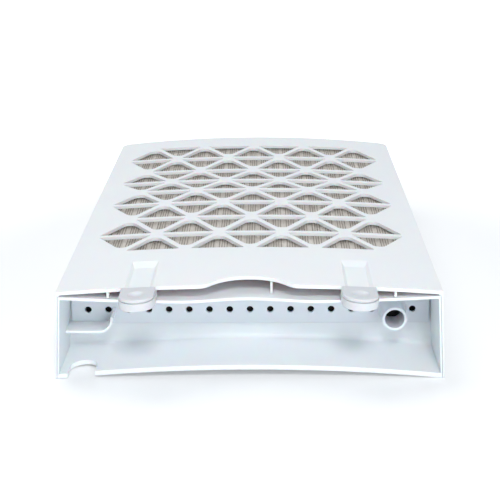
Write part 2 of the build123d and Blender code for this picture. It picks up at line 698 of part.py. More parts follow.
def make_latch_guide(side):
    """U-shaped guide that carries a latch's tongue under the skin."""
    slot_half = TONGUE_WIDTH / 2 + CLEAR
    outer_half = slot_half + GUIDE_WALL
    top = -guide_flange_top()
    low = -TONGUE_TOP - TONGUE - CLEAR - GUIDE_STRAP
    y0, y1 = GUIDE_START, GUIDE_START + GUIDE_LENGTH
    deep_top = -(RECESS_DEPTH + RECESS_BACK + FIT)
    guide = box(-outer_half, outer_half, y0, y1, low, deep_top)
    guide -= box(-slot_half, slot_half, y0 - 1, y1 + 1, low + GUIDE_STRAP, 0)
    for way in (-1, 1):
        mid_x = way * guide_screw_x()
        reach = GUIDE_FLANGE_REACH / 2
        guide += box(mid_x - reach, mid_x + reach, guide_mid_y() - 4, guide_mid_y() + 4,
                     top - GUIDE_FLANGE, top)
        bridge_x = way * (outer_half - 1)
        guide += box(bridge_x - 1, bridge_x + 1, guide_mid_y() - 4, guide_mid_y() + 4,
                     top - GUIDE_FLANGE, deep_top)
        hole = along_z(Circle(GUIDE_SCREW[2] / 2 + HOLE_PLAY), top - GUIDE_FLANGE - 1, top + 1)
        guide -= Pos(mid_x, guide_mid_y(), 0) * hole
    return at_latch(side) * guide


# ---------------------------------------------------------------- fasteners
def make_guide_screws():
    """Four short screws that hold the latch guides to the skin."""
    seat_z = -guide_flange_top() - GUIDE_FLANGE
    return [
        at_latch(side) * (Pos(way * guide_screw_x(), guide_mid_y(), seat_z) * screw(GUIDE_SCREW))
        for side in (-1, 1) for way in (-1, 1)
    ]


def make_frame_screws():
    """Screws through the retaining frame into the pillars."""
    return [
        Pos(side * PILLAR_X, y, FRAME_LOW) * screw(PANEL_SCREW) for side in (-1, 1) for y in PILLAR_Y
    ]


def make_trough_screws():
    """Screws through the trough's lugs into their pillars."""
    return [
        Pos(side * TROUGH_PILLAR_X, TROUGH_PILLAR_Y, FRAME_LOW) * screw(PANEL_SCREW)
        for side in (-1, 1)
    ]


def make_tray_screws():
    """Screws through the drain tray into the far wall's bosses."""
    size = (PANEL_SCREW[0], PANEL_SCREW[1], PANEL_SCREW[2], TRAY + tray_boss_length())
    z = (FRAME_TOP + TRAY_HIGH) / 2
    return [
        Pos(side * TRAY_BOSS_X, TRAY_BASE - TRAY, z) * Rot(-90, 0, 0) * screw(size)
        for side in (-1, 1)
    ]


save("grille_panel", make_grille_panel())
save("drip_trough", make_drip_trough())
save("drip_plate", make_drip_plate())
save("plate_gasket", make_plate_gasket())
save("diffuser_felt", make_diffuser_felt())
save("dust_mesh", make_dust_mesh())
save("mesh_frame", make_mesh_frame())
save("evaporation_pad", make_evaporation_pad())
save("retaining_frame", make_retaining_frame())
save("drain_tray", make_drain_tray())
for side_name, side_sign in (("left", -1), ("right", 1)):
    save(f"side_seal_{side_name}", make_side_seal(side_sign))
    save(f"latch_{side_name}", make_latch(side_sign))
    save(f"latch_guide_{side_name}", make_latch_guide(side_sign))
save("guide_screws", Compound(children=make_guide_screws()))
save("frame_screws", Compound(children=make_frame_screws()))
save("trough_screws", Compound(children=make_trough_screws()))
save("tray_screws", Compound(children=make_tray_screws()))
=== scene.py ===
# Rear pad cassette of an evaporative air cooler, lying on its open back with the grille up.
# The sections follow the cassette as it is put together: grille panel, trough, drip plate, felt,
# dust net, pad, foam strips, back grid, drain tray, latches and screws, then floor, lights and camera.
import math

import bmesh
import bpy
from mathutils import Matrix, Vector
from mathutils import noise as grain


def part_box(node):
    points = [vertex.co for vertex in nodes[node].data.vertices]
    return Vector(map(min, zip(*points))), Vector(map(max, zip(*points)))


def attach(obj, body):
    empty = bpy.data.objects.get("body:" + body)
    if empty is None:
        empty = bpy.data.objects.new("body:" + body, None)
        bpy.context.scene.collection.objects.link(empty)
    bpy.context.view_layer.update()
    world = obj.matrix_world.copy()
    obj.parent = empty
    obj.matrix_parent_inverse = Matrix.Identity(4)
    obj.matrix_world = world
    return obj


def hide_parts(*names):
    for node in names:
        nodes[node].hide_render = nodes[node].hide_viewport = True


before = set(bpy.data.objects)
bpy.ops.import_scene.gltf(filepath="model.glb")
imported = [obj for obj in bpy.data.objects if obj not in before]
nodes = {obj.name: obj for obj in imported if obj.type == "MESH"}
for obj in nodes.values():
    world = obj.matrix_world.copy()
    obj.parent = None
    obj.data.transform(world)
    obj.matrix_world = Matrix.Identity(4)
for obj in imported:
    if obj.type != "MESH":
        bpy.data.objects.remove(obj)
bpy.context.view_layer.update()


# ---- Grille panel: the cassette's outer moulding, injection-moulded in satin white ABS with a cool cast.
# Skin, lattice, side walls, ribs and screw pillars leave one tool together, so one finish covers them,
# and every edge has the small round that the tool leaves.
def shader(name, base, roughness, specular=0.5):
    """A material with its Principled shader set to a finish, ready for detail to be linked in."""
    material = bpy.data.materials.new(name)
    material.use_nodes = True
    bsdf = material.node_tree.nodes["Principled BSDF"]
    bsdf.inputs["Base Color"].default_value = (*base, 1)
    bsdf.inputs["Roughness"].default_value = roughness
    bsdf.inputs["Specular IOR Level"].default_value = specular
    return material, material.node_tree, bsdf


def speckle(tree, scale, detail=2.0, squeeze=(1, 1, 1)):
    """Noise over the piece's own coordinates, in metres, squeezed along an axis where asked."""
    place = tree.nodes.new("ShaderNodeTexCoord")
    mapping = tree.nodes.new("ShaderNodeMapping")
    mapping.inputs["Scale"].default_value = squeeze
    texture = tree.nodes.new("ShaderNodeTexNoise")
    texture.inputs["Scale"].default_value = scale
    texture.inputs["Detail"].default_value = detail
    tree.links.new(place.outputs["Object"], mapping.inputs["Vector"])
    tree.links.new(mapping.outputs["Vector"], texture.inputs["Vector"])
    return texture.outputs["Fac"]


def tint(tree, bsdf, factor, dark, light, low=0.3, high=0.7):
    """Colour that wanders between two tones with a factor."""
    ramp = tree.nodes.new("ShaderNodeValToRGB")
    ramp.color_ramp.elements[0].position = low
    ramp.color_ramp.elements[0].color = (*dark, 1)
    ramp.color_ramp.elements[1].position = high
    ramp.color_ramp.elements[1].color = (*light, 1)
    tree.links.new(factor, ramp.inputs["Fac"])
    tree.links.new(ramp.outputs["Color"], bsdf.inputs["Base Color"])


def spread(tree, factor, low, high, socket):
    """A factor mapped to a range and linked to a socket."""
    scale = tree.nodes.new("ShaderNodeMapRange")
    scale.inputs["To Min"].default_value = low
    scale.inputs["To Max"].default_value = high
    tree.links.new(factor, scale.inputs["Value"])
    tree.links.new(scale.outputs["Result"], socket)


def relief(tree, bsdf, height, depth, strength=1.0, edge_round=None):
    """Bump from a height factor, its depth in metres, over edges rounded as the tool leaves them."""
    bump = tree.nodes.new("ShaderNodeBump")
    bump.inputs["Distance"].default_value = depth
    bump.inputs["Strength"].default_value = strength
    tree.links.new(height, bump.inputs["Height"])
    tree.links.new(bump.outputs["Normal"], bsdf.inputs["Normal"])
    if edge_round:
        rounding = tree.nodes.new("ShaderNodeBevel")
        rounding.samples = 4
        rounding.inputs["Radius"].default_value = edge_round
        tree.links.new(rounding.outputs["Normal"], bump.inputs["Normal"])


def moulded_plastic(name, light, dark, roughness, orange_peel=0.00002, edge_round=0.0005):
    """Moulded plastic: faint cloudiness from the melt, fine orange peel and uneven gloss."""
    material, tree, bsdf = shader(name, light, roughness, 0.45)
    tint(tree, bsdf, speckle(tree, 14, 3), dark, light)
    spread(tree, speckle(tree, 60, 4), roughness - 0.06, roughness + 0.08, bsdf.inputs["Roughness"])
    relief(tree, bsdf, speckle(tree, 900, 3), orange_peel, 0.6, edge_round)
    bsdf.inputs["Subsurface Weight"].default_value = 0.3
    bsdf.inputs["Subsurface Scale"].default_value = 0.003
    return material


def paint(node, material):
    """Gives a carried CAD node its finish."""
    nodes[node].data.materials.clear()
    nodes[node].data.materials.append(material)


def fit_piece(piece, body, material, slot, *stands_for):
    """Paints a piece, fixes it to its body and hides the CAD nodes it stands for."""
    piece.data.materials.clear()
    piece.data.materials.append(material)
    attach(piece, body)
    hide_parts(*stands_for)


def settle(raw, name, smooth_angle=None):
    """Turns an object's live modifiers into one plain mesh, smooth up to an angle where one is given."""
    depsgraph = bpy.context.evaluated_depsgraph_get()
    mesh = bpy.data.meshes.new_from_object(raw.evaluated_get(depsgraph))
    mesh.name = name
    if smooth_angle:
        mesh.shade_smooth()
        mesh.set_sharp_from_angle(angle=math.radians(smooth_angle))
    piece = bpy.data.objects.new(name, mesh)
    bpy.context.scene.collection.objects.link(piece)
    bpy.data.objects.remove(raw)
    return piece


panel_white = moulded_plastic("panel_white", (0.83, 0.842, 0.852), (0.816, 0.83, 0.842), 0.42)
paint("grille_panel", panel_white)

# ---- Water trough: one moulding in the same ABS, a shade glossier, pushed into the panel's mouth.
# Its side walls stand in a rebate of the panel's side walls, and two lugs take a screw each.
# Its colour is painted lighter and bluer than the panel's: painted light that brightens its shaded inside,
# tinted with the blue of that shade.
trough_white_lit = moulded_plastic("trough_white_lit", (0.87, 0.90, 0.922), (0.856, 0.888, 0.912), 0.3)
paint("drip_trough", trough_white_lit)

# ---- Drip plate: a flat moulding with seventeen places in a row, the overflow pipe standing in one.
# A flat rubber ring seals it against the trough's back wall.
plate_white = moulded_plastic("plate_white", (0.77, 0.81, 0.855), (0.755, 0.796, 0.842), 0.34)
paint("drip_plate", plate_white)

ring_rubber, ring_tree, ring_bsdf = shader("ring_rubber", (0.07, 0.072, 0.078), 0.62, 0.35)
tint(ring_tree, ring_bsdf, speckle(ring_tree, 220, 5), (0.055, 0.056, 0.062), (0.085, 0.088, 0.095))
relief(ring_tree, ring_bsdf, speckle(ring_tree, 1600, 2), 0.00003, 0.7)
paint("plate_gasket", ring_rubber)


# ---- Diffuser felt: a needled charcoal polyester strip that spreads the drops over the pad's end.
# It is cut square from a roll and stands between the trough's back wall and the pad.
def soft_block(name, node, cells, corner, roughen, grain_size):
    """A cut block of soft stuff inside a node's box: rounded corners and a lightly uneven face."""
    low, high = (Vector(corner_point) for corner_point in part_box(node))
    middle, half = (low + high) / 2, (high - low) / 2
    shape = bmesh.new()
    made = {}

    def corner_vertex(i, j, k):
        key = (i, j, k)
        if key not in made:
            spot = Vector((2 * i / cells[0] - 1, 2 * j / cells[1] - 1, 2 * k / cells[2] - 1))
            made[key] = shape.verts.new(Vector((spot.x * half.x, spot.y * half.y, spot.z * half.z)))
        return made[key]

    for axis in range(3):
        u, v = [a for a in range(3) if a != axis]
        for end in (0, cells[axis]):
            for a in range(cells[u]):
                for b in range(cells[v]):
                    keys = []
                    for da, db in ((0, 0), (1, 0), (1, 1), (0, 1)):
                        key = [0, 0, 0]
                        key[axis], key[u], key[v] = end, a + da, b + db
                        keys.append(corner_vertex(*key))
                    shape.faces.new(keys)
    for vertex in shape.verts:
        core = Vector((max(-half[a] + corner, min(half[a] - corner, vertex.co[a])) for a in range(3)))
        away = vertex.co - core
        if away.length > 0:
            shrink = roughen * (0.5 + 0.5 * grain.noise((vertex.co + middle) / grain_size))
            vertex.co = core + away.normalized() * (corner - shrink)
        vertex.co += middle
    bmesh.ops.recalc_face_normals(shape, faces=shape.faces)
    mesh = bpy.data.meshes.new(name)
    shape.to_mesh(mesh)
    shape.free()
    mesh.shade_smooth()
    block = bpy.data.objects.new(name, mesh)
    bpy.context.scene.collection.objects.link(block)
    return block


charcoal_felt, felt_tree, felt_bsdf = shader("charcoal_felt", (0.03, 0.028, 0.027), 0.95, 0.2)
tint(felt_tree, felt_bsdf, speckle(felt_tree, 700, 6, (1, 1, 3)), (0.015, 0.014, 0.014),
     (0.05, 0.047, 0.045))
felt_bsdf.inputs["Sheen Weight"].default_value = 0.25
relief(felt_tree, felt_bsdf, speckle(felt_tree, 1400, 6, (1, 3, 1)), 0.0003, 0.9)
felt_strip = soft_block("felt_strip", "diffuser_felt", (90, 5, 14), 0.0009, 0.0004, 0.002)
fit_piece(felt_strip, "cassette", charcoal_felt, "felt", "diffuser_felt")


# ---- Dust net: knitted nylon close under the lattice, brown stays in groups of four across fine pale cross
# threads. It is stretched over the arch of its thin frame and welded to it all round.
def tree_inputs(tree, sizes):
    """Named inputs of a geometry tree, and the Group Input node that carries them."""
    for label, kind, value in sizes:
        socket = tree.interface.new_socket(label, in_out="INPUT", socket_type=kind)
        if value is not None:
            socket.default_value = value
    tree.interface.new_socket("Geometry", in_out="OUTPUT", socket_type="NodeSocketGeometry")
    return tree.nodes.new("NodeGroupInput")


def calc(tree, operation, a, b=None):
    """A Math node on numbers or sockets."""
    node = tree.nodes.new("ShaderNodeMath")
    node.operation = operation
    for slot_number, value in enumerate((a, b)):
        if value is None:
            continue
        if isinstance(value, (int, float)):
            node.inputs[slot_number].default_value = value
        else:
            tree.links.new(value, node.inputs[slot_number])
    return node.outputs[0]


def link_all(tree, node, **sources):
    """Sets numbers on a node's inputs and links sockets to them, named with underscores for spaces."""
    for label, source in sources.items():
        socket = node.inputs[label.replace("_", " ")]
        if isinstance(source, (int, float)):
            socket.default_value = source
        else:
            tree.links.new(source, socket)
    return node


def vector(tree, x=0.0, y=0.0, z=0.0):
    """A Combine XYZ node on numbers or sockets."""
    node = tree.nodes.new("ShaderNodeCombineXYZ")
    return link_all(tree, node, X=x, Y=y, Z=z).outputs[0]


def arch_sag(tree, radius):
    """The arch's drop below its crown at a point's place across it, and the point's coordinates."""
    place = tree.nodes.new("GeometryNodeInputPosition")
    split = tree.nodes.new("ShaderNodeSeparateXYZ")
    tree.links.new(place.outputs[0], split.inputs[0])
    square = calc(tree, "SUBTRACT", calc(tree, "MULTIPLY", radius, radius),
                  calc(tree, "MULTIPLY", split.outputs["X"], split.outputs["X"]))
    return calc(tree, "SUBTRACT", calc(tree, "SQRT", square), radius), split.outputs


def thread_bundle(tree, path, radius, sides):
    """A thread of round section along a curve."""
    ring = tree.nodes.new("GeometryNodeCurvePrimitiveCircle")
    link_all(tree, ring, Resolution=sides, Radius=radius)
    sweep = tree.nodes.new("GeometryNodeCurveToMesh")
    tree.links.new(path, sweep.inputs["Curve"])
    tree.links.new(ring.outputs["Curve"], sweep.inputs["Profile Curve"])
    sweep.inputs["Fill Caps"].default_value = True
    return sweep.outputs["Mesh"]


def straight(tree, end):
    """A straight curve from the origin to an end."""
    line = tree.nodes.new("GeometryNodeCurvePrimitiveLine")
    tree.links.new(end, line.inputs["End"])
    return line.outputs["Curve"]


def row_of(tree, count, start, step, geometry):
    """Copies of a geometry on a row of points."""
    row = tree.nodes.new("GeometryNodeMeshLine")
    link_all(tree, row, Count=count, Start_Location=start, Offset=step)
    copies = tree.nodes.new("GeometryNodeInstanceOnPoints")
    tree.links.new(row.outputs["Mesh"], copies.inputs["Points"])
    tree.links.new(geometry, copies.inputs["Instance"])
    real = tree.nodes.new("GeometryNodeRealizeInstances")
    tree.links.new(copies.outputs["Instances"], real.inputs["Geometry"])
    return real.outputs["Geometry"]


def paint_in_tree(tree, geometry, material):
    """Set Material inside a tree."""
    node = tree.nodes.new("GeometryNodeSetMaterial")
    node.inputs["Material"].default_value = material
    tree.links.new(geometry, node.inputs["Geometry"])
    return node.outputs["Geometry"]


def grow(name, tree, values):
    """Runs a geometry tree with its inputs set by identifier, and keeps the result as a plain mesh."""
    raw = bpy.data.objects.new(name + "_raw", bpy.data.meshes.new(name + "_raw"))
    bpy.context.scene.collection.objects.link(raw)
    modifier = raw.modifiers.new("grown", "NODES")
    modifier.node_group = tree
    for item in tree.interface.items_tree:
        if item.in_out == "INPUT" and item.name in values:
            modifier[item.identifier] = values[item.name]
    return settle(raw, name)


def net_tree(stay_material, cross_material):
    """Net of grouped stays along the cassette over fine cross threads, laid on an arch."""
    tree = bpy.data.node_groups.new("net_threads", "GeometryNodeTree")
    given = tree_inputs(tree, (
        ("Half Width", "NodeSocketFloat", 0.1), ("Length", "NodeSocketFloat", 0.3),
        ("Start", "NodeSocketFloat", 0.0), ("Crown", "NodeSocketFloat", 0.06),
        ("Arch Radius", "NodeSocketFloat", 1.5), ("Group Pitch", "NodeSocketFloat", 0.0093),
        ("Stay Pitch", "NodeSocketFloat", 0.00175), ("Stays", "NodeSocketInt", 4),
        ("Groups", "NodeSocketInt", 22), ("Stay Radius", "NodeSocketFloat", 0.0002),
        ("Cross Pitch", "NodeSocketFloat", 0.0024), ("Crosses", "NodeSocketInt", 100),
        ("Cross Radius", "NodeSocketFloat", 0.00012))).outputs

    stay = thread_bundle(tree, straight(tree, vector(tree, y=given["Length"])), given["Stay Radius"], 5)
    group = row_of(tree, given["Stays"], vector(tree), vector(tree, x=given["Stay Pitch"]), stay)
    first = calc(tree, "MULTIPLY", calc(tree, "SUBTRACT", given["Groups"], 1), -0.5)
    lead = calc(tree, "MULTIPLY", calc(tree, "SUBTRACT", given["Stays"], 1), -0.5)
    start_x = calc(tree, "ADD", calc(tree, "MULTIPLY", first, given["Group Pitch"]),
                   calc(tree, "MULTIPLY", lead, given["Stay Pitch"]))
    stays = row_of(tree, given["Groups"], vector(tree, start_x, given["Start"], given["Crown"]),
                   vector(tree, x=given["Group Pitch"]), group)

    width = calc(tree, "MULTIPLY", given["Half Width"], 2)
    across = tree.nodes.new("GeometryNodeResampleCurve")
    tree.links.new(straight(tree, vector(tree, x=width)), across.inputs["Curve"])
    across.inputs["Count"].default_value = 22
    cross = thread_bundle(tree, across.outputs["Curve"], given["Cross Radius"], 4)
    below = calc(tree, "SUBTRACT", given["Crown"], given["Stay Radius"])
    crosses = row_of(tree, given["Crosses"],
                     vector(tree, calc(tree, "MULTIPLY", given["Half Width"], -1),
                            calc(tree, "ADD", given["Start"], given["Cross Pitch"]), below),
                     vector(tree, y=given["Cross Pitch"]), cross)

    sag = arch_sag(tree, given["Arch Radius"])[0]
    both = tree.nodes.new("GeometryNodeJoinGeometry")
    for threads, material in ((crosses, cross_material), (stays, stay_material)):
        bend = tree.nodes.new("GeometryNodeSetPosition")
        tree.links.new(threads, bend.inputs["Geometry"])
        tree.links.new(vector(tree, z=sag), bend.inputs["Offset"])
        real = tree.nodes.new("GeometryNodeRealizeInstances")
        tree.links.new(bend.outputs["Geometry"], real.inputs["Geometry"])
        tree.links.new(paint_in_tree(tree, real.outputs["Geometry"], material), both.inputs["Geometry"])
    tree.links.new(both.outputs["Geometry"], tree.nodes.new("NodeGroupOutput").inputs["Geometry"])
    return tree


def thread(name, light, dark):
    """Nylon thread: round, slightly glossy, its colour uneven along its length."""
    material, tree, bsdf = shader(name, light, 0.55, 0.4)
    tint(tree, bsdf, speckle(tree, 260, 3, (1, 0.25, 1)), dark, light)
    relief(tree, bsdf, speckle(tree, 3000, 2), 0.00003, 0.6)
    return material


NET_THICK, NET_INSET = 0.0006, 0.0004
STAY_RADIUS, CROSS_RADIUS, CROSS_PITCH = 0.0002, 0.00014, 0.0026
THREAD_COVER = 0.00002     # left free above the stays inside the net's thickness
net_low, net_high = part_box("dust_mesh")
net_half = net_high[0]
net_sag = net_high[2] - net_low[2] - NET_THICK
stay_brown = thread("stay_brown", (0.23, 0.18, 0.14), (0.12, 0.09, 0.07))
cross_pale = thread("cross_pale", (0.74, 0.70, 0.64), (0.62, 0.58, 0.52))
net_length = net_high[1] - net_low[1] - 2 * NET_INSET
net = grow("dust_net", net_tree(stay_brown, cross_pale), {
    "Half Width": net_half - NET_INSET, "Length": net_length, "Start": net_low[1] + NET_INSET,
    "Crown": net_high[2] - STAY_RADIUS - THREAD_COVER,
    "Arch Radius": (net_half**2 + net_sag**2) / (2 * net_sag),
    "Group Pitch": 0.0093, "Stay Pitch": 0.00175, "Stays": 4, "Groups": 23, "Stay Radius": STAY_RADIUS,
    "Cross Pitch": CROSS_PITCH, "Crosses": int(net_length / CROSS_PITCH) - 1,
    "Cross Radius": CROSS_RADIUS})
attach(net, "cassette")
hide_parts("dust_mesh")

carrier_white = moulded_plastic("carrier_white", (0.74, 0.76, 0.77), (0.70, 0.72, 0.735), 0.5, 0.00004)
paint("mesh_frame", carrier_white)


# ---- Evaporation pad: beige cellulose board, fluted lengthwise, wetted from the felt at the trough end.
# It is cut to the arch of the panel and pressed up against the net by the back grid.
def pad_tree(material):
    """Closed block whose top and bottom carry flutes, the top laid on an arch, all a little uneven."""
    tree = bpy.data.node_groups.new("fluted_pad", "GeometryNodeTree")
    given = tree_inputs(tree, (
        ("Size", "NodeSocketVector", (0.2, 0.3, 0.04)), ("Middle", "NodeSocketVector", (0, 0, 0)),
        ("Columns", "NodeSocketInt", 500), ("Rows", "NodeSocketInt", 40),
        ("Arch Radius", "NodeSocketFloat", 1.5), ("Flute Pitch", "NodeSocketFloat", 0.0023),
        ("Flute Depth", "NodeSocketFloat", 0.0009), ("Unevenness", "NodeSocketFloat", 0.0004),
        ("Seed", "NodeSocketFloat", 5.0))).outputs
    block = tree.nodes.new("GeometryNodeMeshCube")
    link_all(tree, block, Size=given["Size"], Vertices_X=given["Columns"],
             Vertices_Y=given["Rows"], Vertices_Z=3)
    sag, place = arch_sag(tree, given["Arch Radius"])
    is_top = calc(tree, "GREATER_THAN", place["Z"], 0.001)
    is_low = calc(tree, "LESS_THAN", place["Z"], -0.001)
    wobble = tree.nodes.new("ShaderNodeTexNoise")
    wobble.noise_dimensions = "4D"
    squeeze = tree.nodes.new("ShaderNodeVectorMath")
    squeeze.operation = "MULTIPLY"
    spot = tree.nodes.new("GeometryNodeInputPosition")
    tree.links.new(spot.outputs[0], squeeze.inputs[0])
    squeeze.inputs[1].default_value = (1, 0.35, 1)
    tree.links.new(squeeze.outputs[0], wobble.inputs["Vector"])
    link_all(tree, wobble, W=given["Seed"], Scale=55.0, Detail=2.0)
    shift = calc(tree, "MULTIPLY", wobble.outputs[0], given["Flute Pitch"])
    phase = calc(tree, "MULTIPLY", calc(tree, "DIVIDE", calc(tree, "ADD", place["X"], shift),
                                        given["Flute Pitch"]), 2 * math.pi)
    trench = calc(tree, "MULTIPLY", calc(tree, "SUBTRACT", calc(tree, "COSINE", phase), 1),
                  calc(tree, "MULTIPLY", given["Flute Depth"], 0.5))
    rough = calc(tree, "MULTIPLY", wobble.outputs[0], calc(tree, "MULTIPLY", given["Unevenness"], -1))
    top_move = calc(tree, "MULTIPLY", is_top, calc(tree, "ADD", sag, calc(tree, "ADD", trench, rough)))
    low_move = calc(tree, "MULTIPLY", is_low, calc(tree, "MULTIPLY", calc(tree, "ADD", trench, rough), -1))
    carve = tree.nodes.new("GeometryNodeSetPosition")
    tree.links.new(block.outputs["Mesh"], carve.inputs["Geometry"])
    tree.links.new(vector(tree, z=calc(tree, "ADD", top_move, low_move)), carve.inputs["Offset"])
    seat = tree.nodes.new("GeometryNodeSetPosition")
    tree.links.new(carve.outputs["Geometry"], seat.inputs["Geometry"])
    tree.links.new(given["Middle"], seat.inputs["Offset"])
    real = tree.nodes.new("GeometryNodeRealizeInstances")
    tree.links.new(seat.outputs["Geometry"], real.inputs["Geometry"])
    tree.links.new(paint_in_tree(tree, real.outputs["Geometry"], material),
                   tree.nodes.new("NodeGroupOutput").inputs["Geometry"])
    return tree


board, board_tree, board_bsdf = shader("cellulose_board", (0.84, 0.79, 0.73), 0.9, 0.2)
tint(board_tree, board_bsdf, speckle(board_tree, 120, 6, (1, 0.3, 1)), (0.55, 0.51, 0.47),
     (0.78, 0.74, 0.70))
relief(board_tree, board_bsdf, speckle(board_tree, 1500, 5, (1, 0.5, 1)), 0.00025, 0.8)
pad_low, pad_high = (Vector(corner_point) for corner_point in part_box("evaporation_pad"))
ARCH_HALF, ARCH_RISE = 0.120, 0.0046
arch_radius = (ARCH_HALF**2 + ARCH_RISE**2) / (2 * ARCH_RISE)
FLUTE = 0.00233
pad = grow("fluted_pad", pad_tree(board), {
    "Size": tuple(pad_high - pad_low), "Middle": tuple((pad_low + pad_high) / 2),
    "Columns": 6 * int(2 * pad_high.x / FLUTE) + 1, "Rows": 34, "Arch Radius": arch_radius,
    "Flute Pitch": FLUTE, "Flute Depth": 0.0007, "Unevenness": 0.0003})
pad.data.shade_smooth()
pad.data.set_sharp_from_angle(angle=math.radians(50))
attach(pad, "cassette")
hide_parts("evaporation_pad")

# ---- Foam strips: dark closed-cell foam along both sides of the pad, so that no air slips past it.
# They are cut from sheet and pressed in between the pad and the screw pillars.
cell_foam, foam_tree, foam_bsdf = shader("cell_foam", (0.05, 0.05, 0.053), 0.9, 0.25)
tint(foam_tree, foam_bsdf, speckle(foam_tree, 500, 5), (0.032, 0.032, 0.035), (0.075, 0.075, 0.08))
relief(foam_tree, foam_bsdf, speckle(foam_tree, 1100, 3), 0.0002, 0.9)
for side in ("left", "right"):
    strip = soft_block("foam_strip_" + side, "side_seal_" + side, (4, 160, 18), 0.0008, 0.0003, 0.003)
    fit_piece(strip, "cassette", cell_foam, "foam_seal", "side_seal_" + side)

# ---- Back grid and drain tray: matt white polypropylene mouldings inside the cassette.
# The grid closes the open back and holds the pad in, the tray gathers what drips off the pad's low end.
paint("retaining_frame", carrier_white)
paint("drain_tray", carrier_white)

# ---- Slide latches and their guides: glossier white ABS, worn smooth by thumbs.
# Each head stands in front of the skin's edge, its tongue runs in a guide screwed up under the skin.
# The latches' white is painted darker than the panel's: painted shade that takes back the key lamp's light
# falling full on their heads.
latch_white_shaded = moulded_plastic("latch_white_shaded", (0.64, 0.655, 0.68), (0.625, 0.641, 0.667), 0.3)
for side in ("left", "right"):
    paint("latch_" + side, latch_white_shaded)
    paint("latch_guide_" + side, carrier_white)


